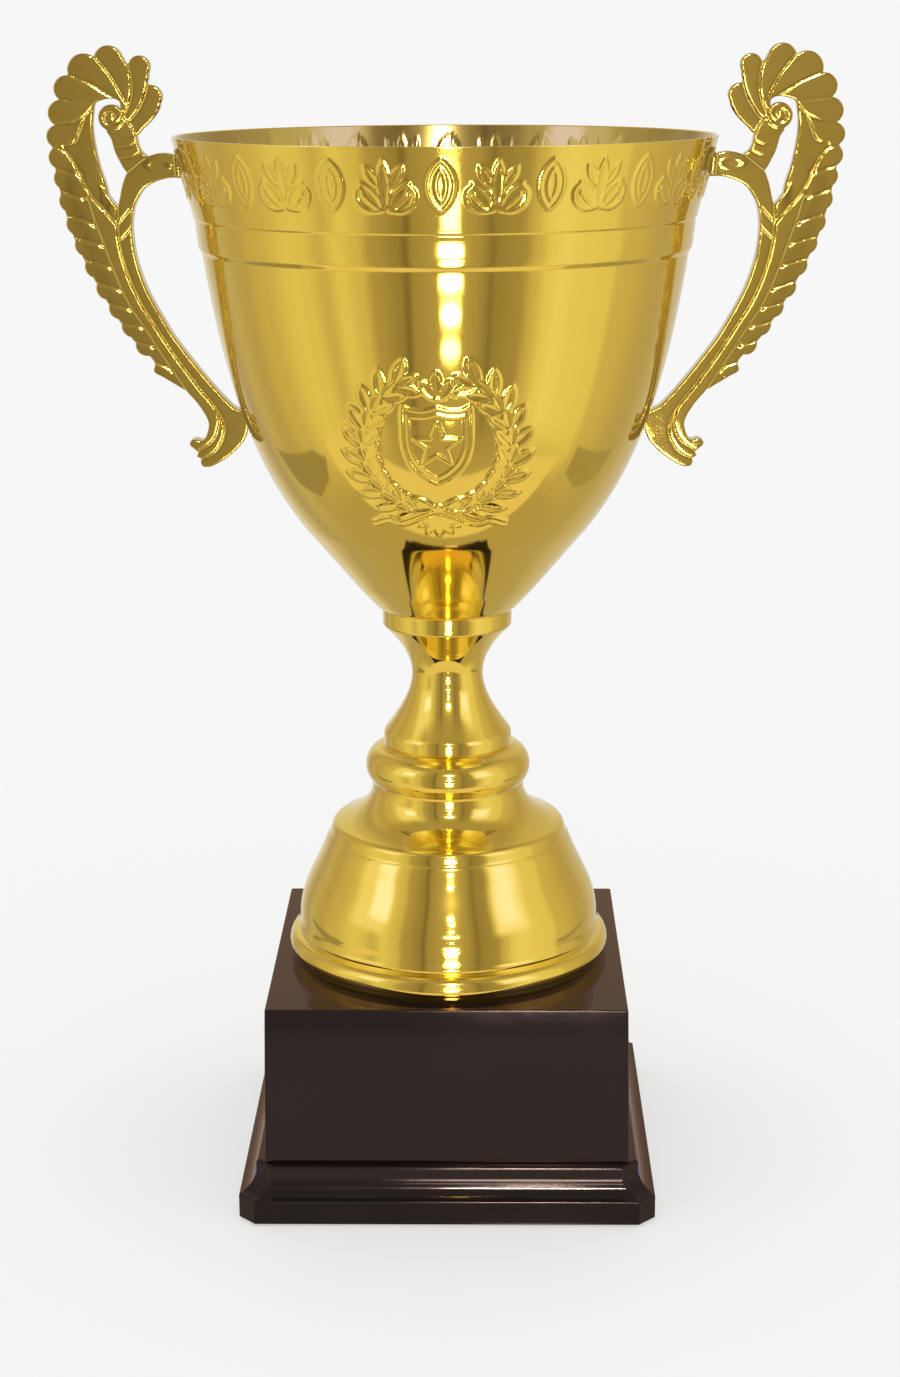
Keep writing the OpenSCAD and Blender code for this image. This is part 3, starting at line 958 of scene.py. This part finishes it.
def handle_parts(x, z):
    """Flat distance, half thickness and edge rounding of each part of the handle."""
    crest = all_paths(x, z, CREST_GROOVES)
    feathers = all_paths(x, z, FEATHER_GROOVES)
    leaves = from_loop(x, z, spline(LEAVES, 4, closed=True))
    for cx, cz, r in LEAF_TIPS:
        leaves = np.minimum(leaves, from_disc(x, z, (cx, cz), r))
    spine = from_loop(x, z, spline(SPINE, 4, closed=True))
    leaf_half = LEAF_HALF + ROOT_RISE * smoothstep(-spine, -ROOT_REACH, 0)
    leaf_half = leaf_half - line(np.minimum(crest, feathers), LEAF_CUT)
    for groove in FEATHER_GROOVES:
        dimple = from_disc(x, z, groove[-1], 0)
        leaf_half = leaf_half - DIMPLE_DEPTH * ridge(dimple, DIMPLE_R)

    lines = all_paths(x, z, SPINE_GROOVES + CREST_GROOVES[-1:])
    spine_half = SPINE_HALF - line(lines, SPINE_CUT)
    chamfer = np.clip(spine + CHAMFER_W, 0, CHAMFER_W) * smoothstep(-leaves, -0.3, 0.6)
    spine_half = spine_half - CHAMFER_SLOPE * chamfer
    melts = smoothstep(x, 21, 27) * smoothstep(z, -34, -15)
    spine_half = spine_half - (SPINE_HALF - LEAF_HALF - ROOT_RISE) * melts
    from_ring = np.abs(np.hypot((x - RING_X) / RING_A, (z - RING_Z) / RING_B) - 1)
    spine_half = spine_half + RING_RISE * ridge(from_ring * RING_SCALE, RING_R)

    neck = from_loop(x, z, spline(NECK, 4, closed=True))
    neck_half = NECK_HALF - line(all_paths(x, z, NECK_GROOVES), NECK_CUT)
    volute = from_disc(x, z, VOLUTE_MIDDLE, VOLUTE_R)
    volute_half = VOLUTE_HALF - line(crest, VOLUTE_CUT)
    collar = from_path(x, z, np.array(COLLAR)) - COLLAR_R
    return [
        (leaves, leaf_half, EDGE_R),
        (spine, spine_half, SPINE_EDGE_R),
        (neck, neck_half, EDGE_R),
        (volute, volute_half, EDGE_R),
        (collar, np.full(x.shape, COLLAR_HALF), COLLAR_EDGE_R),
    ]


def make_handle():
    """Points and faces of the right-hand handle."""
    step = np.array(GRID_STEP)
    origin = np.array([RIM_R - GRID_INWARDS, -GRID_SIZE[1] / 2, HANDLE_AT_Z - GRID_DROP])
    size = [int(n) for n in np.array(GRID_SIZE) / step]
    x, y, z = [origin[k] + step[k] * np.arange(size[k]) for k in range(3)]
    flat_x, flat_z = np.meshgrid(x - HANDLE_AT_X, z - HANDLE_AT_Z, indexing="ij")
    parts = handle_parts(flat_x, flat_z)
    field = np.full(size, FAR_OFF)
    for beside, half, edge in parts:
        over = np.abs(y)[None, :, None] - half[:, None, :]
        field = np.minimum(field, slab(beside[:, None, :], over, edge))
    wall = np.interp(z - BOWL_Z, bowl_outer[:, 1], bowl_outer[:, 0]) - SUNK
    from_axis = np.hypot(x[:, None], y[None, :])
    field = np.maximum(field, wall[None, None, :] - from_axis[:, :, None])
    return surface_net(field, origin, step)


def simplified(points, faces, share):
    """The same surface with fewer triangles, lost mostly from its flat parts."""
    mesh = bpy.data.meshes.new("fine")
    mesh.from_pydata(points, [], faces.tolist())
    fine = add_object("fine", mesh)
    softer = fine.modifiers.new("softer", "SMOOTH")
    softer.factor = 0.5
    softer.iterations = 2
    fine.modifiers.new("fewer", "DECIMATE").ratio = share
    coarse = fine.evaluated_get(bpy.context.evaluated_depsgraph_get()).to_mesh()
    points = np.array([v.co for v in coarse.vertices])
    faces = [tuple(p.vertices) for p in coarse.polygons]
    bpy.data.objects.remove(fine)
    return points, faces


def make_handles():
    """The right-hand handle, and the same casting turned half round for the left."""
    points, faces = simplified(*make_handle(), KEPT_SHARE)
    for name, side in (("handle_right", 1), ("handle_left", -1)):
        placed = points * [side, side, 1]
        piece(name + "_casting", placed, faces, HANDLE_GOLD, name)


# ---------------- plinth

def direction(angle):
    """Unit vector in plan at an angle in degrees."""
    return np.array([cos(radians(angle)), sin(radians(angle))])


def plan_corners(clip, corner_r):
    """Rounded corners of a square plan: which way each grows, its place and its facing."""
    plan = []
    for start in (180, 270, 360, 450):
        grows = np.round(direction(start) + direction(start + 90))
        bends = [(start, 90, np.zeros(2))]
        if clip:
            bends = [(start, 45, -clip * direction(start + 90)),
                     (start + 45, 45, clip * direction(start + 180))]
        for first, sweep, place in bends:
            middle = direction(first + sweep / 2)
            centre = place - middle * corner_r / cos(radians(sweep / 2))
            for angle in np.linspace(first, first + sweep, 6):
                facing = direction(angle)
                plan.append((grows, centre + corner_r * facing, facing))
    return plan


def prism(name, path, clip, corner_r, material, stands_for):
    """A moulded square prism whose faces stay flat up to their rounded edges.

    path has rows of half width and height. clip is the leg length of clipped corners,
    or 0 for plain ones.
    """
    plan = plan_corners(clip, corner_r)
    n = len(plan)
    points, normals, faces = [], [], []
    for (half, z), (dh, dz) in zip(path, np.gradient(path, axis=0)):
        for grows, place, facing in plan:
            points.append([*(grows * half + place), z])
            along = [-facing[1], facing[0], 0]
            normal = np.cross(along, [*(grows * dh), dz])
            normals.append(normal / np.linalg.norm(normal))
    for i in range(len(path) - 1):
        for j in range(n):
            a, b = n * i + j, n * i + (j + 1) % n
            faces.append([a, b, b + n, a + n])
    for row, up in ((0, -1), (n * (len(path) - 1), 1)):
        cap = list(range(len(points), len(points) + n))
        points += [points[row + j] for j in range(n)]
        normals += [[0, 0, up]] * n
        faces.append(cap if up > 0 else cap[::-1])
    return piece(name, points, faces, material, stands_for, normals)


SKIRT_CLIP = 6.3
COVE_R = 8


def make_plinth():
    """The block, the moulded skirt under it and the felt pad."""
    top_half = half_width("plinth_block") - 1.1
    foot_half = half_width("plinth_block")
    block = rounded(np.array([
        [foot_half - 0.6, BLOCK_Z], [foot_half, BLOCK_Z], [top_half, FOOT_Z],
        [top_half - 1.6, FOOT_Z],
    ]), 0.55, 0.05)
    prism("plinth_block_lacquered", rows(block, 80, 6), 0, 0.8, LACQUER,
          "plinth_block")

    fascia = half_width("plinth_skirt")
    ledge = fascia - 6.25
    under = low("plinth_skirt")
    skirt = rounded(np.vstack([
        [[fascia - 1.5, under], [fascia, under], [fascia, 9.6]],
        oval([ledge + COVE_R, SKIRT_H - 3.5], COVE_R, COVE_R, -103, -180),
        [[ledge, SKIRT_H - 0.8], [ledge - 0.8, SKIRT_H], [ledge - 2, SKIRT_H]],
    ]), 0.4, 0.05)
    prism("plinth_skirt_moulded", rows(skirt, 3, 5), SKIRT_CLIP, 0.6, LACQUER,
          "plinth_skirt")

    pad = half_width("felt_pad")
    pad_top = high("felt_pad")
    edge = rounded(np.array([
        [pad - 1, 0], [pad - 0.15, 0], [pad, pad_top / 2], [pad - 0.15, pad_top],
        [pad - 1, pad_top],
    ]), 0.2, 0.03)
    prism("felt_pad_soft", rows(edge, 1, 12), SKIRT_CLIP, 1.5, FELT, "felt_pad")


# ---------------- CAD nodes that show as they are

STEEL_NODES = [
    "handle_screws", "handle_washers", "bowl_washer", "bowl_nut", "tie_rod",
    "plinth_washer", "plinth_lock_washer", "plinth_nut", "skirt_screws",
]


def finish_cad_nodes():
    """Gives the hidden fixings their materials and leaves their shapes alone."""
    finishes = [(name, STEEL) for name in STEEL_NODES] + [("foot_core", CORE_PLASTIC)]
    for name, material in finishes:
        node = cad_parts[name]
        node.data.materials.clear()
        node.data.materials.append(material)


# ---------------- studio

# Brightness of the room that the metal mirrors, at the height of the eye: azimuth, level
ROOM = [
    (-180, 0.76), (-156, 0.72), (-150, 0.60), (-138, 0.46), (-126, 0.55), (-114, 0.50),
    (-98, 0.60), (-76, 0.77), (-68, 0.75), (-59, 0.61), (-50, 0.78), (-40, 0.67),
    (-33, 0.44), (-21, 0.33), (-18, 0.20), (-15, 0.38), (-4, 0.46), (8, 0.50),
    (15, 0.43), (20, 0.34), (22.5, 0.24), (25, 0.33), (37, 0.39), (44, 0.62),
    (51, 0.82), (58, 0.88), (70, 0.82), (87, 0.77), (91, 0.63), (124, 0.49),
    (150, 0.59), (180, 0.76),
]
# Bright windows in the room: turns and rises in degrees, softness of the edge, brightness
WINDOWS = [
    ((-82, -50), (8, 46), 5, 0.92), ((-67, -50), (19, 34), 3, 1.25),
    ((38, 67), (10, 44), 5, 1.02), ((44, 60), (18, 34), 4, 1.2),
]
CEILING = 0.42
DARK_FLOOR = 0.48
# How much green and blue come back at each further reflection in the gold
GREEN_AGAIN = 1.22
BLUE_AGAIN = 2.3
BACKDROP = 0.93
EVEN_LIGHT = 1.0


def make_room():
    """World: a softly lit studio in reflections, an even white light for everything else."""
    world = bpy.data.worlds.new("studio")
    bpy.context.scene.world = world
    world.use_nodes = True
    world.cycles.sampling_method = "NONE"
    tree = world.node_tree
    tree.nodes.clear()
    coordinates = tree.nodes.new("ShaderNodeTexCoord")
    split = tree.nodes.new("ShaderNodeSeparateXYZ")
    tree.links.new(coordinates.outputs["Generated"], split.inputs[0])
    x, y, z = [Field(tree, split.outputs[k]) for k in range(3)]
    degree = 180 / pi
    turn = x.math("ARCTAN2", y * -1) * degree
    rise = z.math("ARCSINE") * degree

    ramp = tree.nodes.new("ShaderNodeValToRGB")
    ramp.color_ramp.interpolation = "EASE"
    stops = ramp.color_ramp.elements
    for _ in ROOM[2:]:
        stops.new(0.5)
    for stop, (angle, level) in zip(stops, ROOM):
        stop.position = (angle + 180) / 360
        stop.color = (level, level, level, 1)
    tree.links.new((turn / 360 + 0.5).socket, ramp.inputs["Fac"])
    level = Field(tree, ramp.outputs["Color"])

    level = level.towards(CEILING, rise.smooth(40, 60))
    level = level.towards(DARK_FLOOR, rise.smooth(-36, -54))
    for turns, rises, soft, bright in WINDOWS:
        share = turn.within(*turns, soft) * rise.within(*rises, soft)
        level = level.towards(bright, share)
    light_path = tree.nodes.new("ShaderNodeLightPath")
    again = (Field(tree, light_path.outputs["Glossy Depth"]) - 1).math("MAXIMUM", 0)
    green = level * level.smooth(0.2, 1.1).between(0.93, 1.08)
    green *= (again * log(GREEN_AGAIN)).math("EXPONENT")
    blue = level * level.smooth(0.75, 1.3).between(1, 2.8)
    blue *= (again * log(BLUE_AGAIN)).math("EXPONENT")
    colour = tree.nodes.new("ShaderNodeCombineColor")
    for channel, value in (("Red", level), ("Green", green), ("Blue", blue)):
        tree.links.new(value.socket, colour.inputs[channel])
    room = tree.nodes.new("ShaderNodeBackground")
    tree.links.new(colour.outputs[0], room.inputs["Color"])

    camera = Field(tree, light_path.outputs["Is Camera Ray"])
    even = tree.nodes.new("ShaderNodeBackground")
    even.inputs["Color"].default_value = (1, 1, 1, 1)
    tree.links.new(camera.between(EVEN_LIGHT, BACKDROP).socket, even.inputs["Strength"])
    either = tree.nodes.new("ShaderNodeMixShader")
    tree.links.new(light_path.outputs["Is Glossy Ray"], either.inputs["Fac"])
    tree.links.new(even.outputs[0], either.inputs[1])
    tree.links.new(room.outputs[0], either.inputs[2])
    output = tree.nodes.new("ShaderNodeOutputWorld")
    tree.links.new(either.outputs[0], output.inputs["Surface"])


# Narrow lamps that the front of the cup mirrors one above the other:
# sideways place, height, width and depth in metres, and radiance
LAMPS = [
    (0.055, -0.55, 0.10, 0.02, 9), (0.050, -0.23, 0.17, 0.060, 9),
    (0.050, -0.133, 0.17, 0.040, 28), (0.050, -0.060, 0.20, 0.026, 30),
    (0.056, -0.004, 0.19, 0.036, 34), (0.050, 0.072, 0.20, 0.042, 34),
    (0.055, 0.21, 0.05, 0.02, 34), (0.055, 0.34, 0.20, 0.026, 40),
    (0.055, 0.45, 0.06, 0.025, 80), (0.060, 0.57, 0.06, 0.03, 80),
    (0.050, 0.65, 0.08, 0.025, 80), (0.060, 0.90, 0.16, 0.07, 320),
]
LAMP_Y = -1.05
LAMP_AIM = Vector((0, 0, 0.3))


def make_lamps():
    """Area lamps that show only in reflections."""
    for i, (x, z, width, depth, radiance) in enumerate(LAMPS):
        light = bpy.data.lights.new(f"lamp_{i}", "AREA")
        light.shape = "ELLIPSE"
        light.size, light.size_y = width, depth
        light.energy = radiance * width * depth * pi * pi / 4
        lamp = add_object(f"lamp_{i}", light)
        lamp.location = (x, LAMP_Y, z)
        aim = LAMP_AIM - lamp.location
        lamp.rotation_mode = "QUATERNION"
        lamp.rotation_quaternion = aim.to_track_quat("-Z", "Y")
        lamp.visible_camera = False
        lamp.visible_diffuse = False


# Flat cards on the table that only the metal mirrors: brightness, corners in metres
CARDS = {
    "white_card": (0.83, [(-0.42, -0.105), (-0.40, -0.26), (0.245, -0.26), (0.37, -0.10)]),
    "dark_card_left": (0.34, [(-0.51, 0.32), (-0.44, -0.02), (-0.385, -0.075), (-0.335, -0.03),
                              (-0.325, 0.07), (-0.395, 0.20)]),
    "dark_card_right": (0.40, [(0.50, 0.30), (0.40, 0.20), (0.34, 0.06), (0.35, -0.03),
                               (0.44, -0.03)]),
}


def make_cards():
    """Glowing cards that show only in reflections."""
    for name, (level, corners) in CARDS.items():
        mesh = bpy.data.meshes.new(name)
        mesh.from_pydata([(x, y, 0) for x, y in corners], [], [range(len(corners))])
        material, tree, shader = new_material(name, Roughness=1.0, Specular_IOR_Level=0.0)
        shader.inputs["Base Color"].default_value = (0, 0, 0, 1)
        shader.inputs["Emission Color"].default_value = (1, 0.97, 1, 1)
        sheen = noise(tree, 6).between(level * 0.94, level * 1.06)
        feed(tree, shader, "Emission Strength", sheen)
        mesh.materials.append(material)
        card = add_object(name, mesh)
        card.visible_camera = False
        card.visible_diffuse = False
        card.visible_shadow = False


# Half width of the floor in metres, and the share of its brightness that shadows take away
FLOOR_HALF = 30
SHADOW_SHARE = 0.45


def make_floor():
    """Pale studio floor, out of sight of the mirror-bright metal."""
    size = FLOOR_HALF
    mesh = bpy.data.meshes.new("floor")
    mesh.from_pydata(
        [(-size, -size, 0), (size, -size, 0), (size, size, 0), (-size, size, 0)],
        [], [(0, 1, 2, 3)])
    floor = add_object("floor", mesh)
    material, tree, shader = new_material("pale_paper", Roughness=1.0, Specular_IOR_Level=0.0)
    shader.inputs["Emission Color"].default_value = (1, 1, 1, 1)
    shader.inputs["Emission Strength"].default_value = BACKDROP * (1 - SHADOW_SHARE)
    fibre = noise(tree, 300, detail=3)
    own = BACKDROP * SHADOW_SHARE
    tint(tree, shader, fibre, (own - 0.003,) * 3, (own + 0.003,) * 3)
    mesh.materials.append(material)
    floor.visible_glossy = False


# Camera: distance from the cup's axis and height in metres, angles in degrees, lens in mm
CAMERA_FROM_AXIS = 0.9234
CAMERA_HEIGHT = 0.4355
CAMERA_AZIMUTH = 0.86
CAMERA_YAW = -0.06
CAMERA_PITCH = 14.94
CAMERA_ROLL = -0.24
CAMERA_LENS = 64.34


def make_camera():
    """Camera that looks down at the front of the cup."""
    stand = radians(CAMERA_AZIMUTH)
    look = radians(CAMERA_AZIMUTH + CAMERA_YAW)
    pitch, roll = radians(CAMERA_PITCH), radians(CAMERA_ROLL)
    ahead = Vector((-sin(look) * cos(pitch), cos(look) * cos(pitch), -sin(pitch)))
    right = Vector((cos(look), sin(look), 0))
    up = right.cross(ahead)
    tilted_right = cos(roll) * right + sin(roll) * up
    tilted_up = -sin(roll) * right + cos(roll) * up
    data = bpy.data.cameras.new("camera")
    data.lens = CAMERA_LENS
    camera = add_object("camera", data)
    place = Matrix((tilted_right, tilted_up, -ahead)).transposed().to_4x4()
    place.translation = (
        CAMERA_FROM_AXIS * sin(stand), -CAMERA_FROM_AXIS * cos(stand), CAMERA_HEIGHT)
    camera.matrix_world = place
    bpy.context.scene.camera = camera


make_camera()
make_room()
make_lamps()
make_cards()
make_floor()
bpy.context.scene.view_settings.view_transform = "Standard"

make_bowl()
shell("stem_turned", stem_outer, STEM_Z, STEM_H, "stem", True)
shell("stem_knop_turned", knop_outer, KNOP_Z, KNOP_H, "stem_knop", True)
shell("foot_turned", foot_outer, FOOT_Z, FOOT_H, "foot", False)
make_handles()
make_plinth()
finish_cad_nodes()
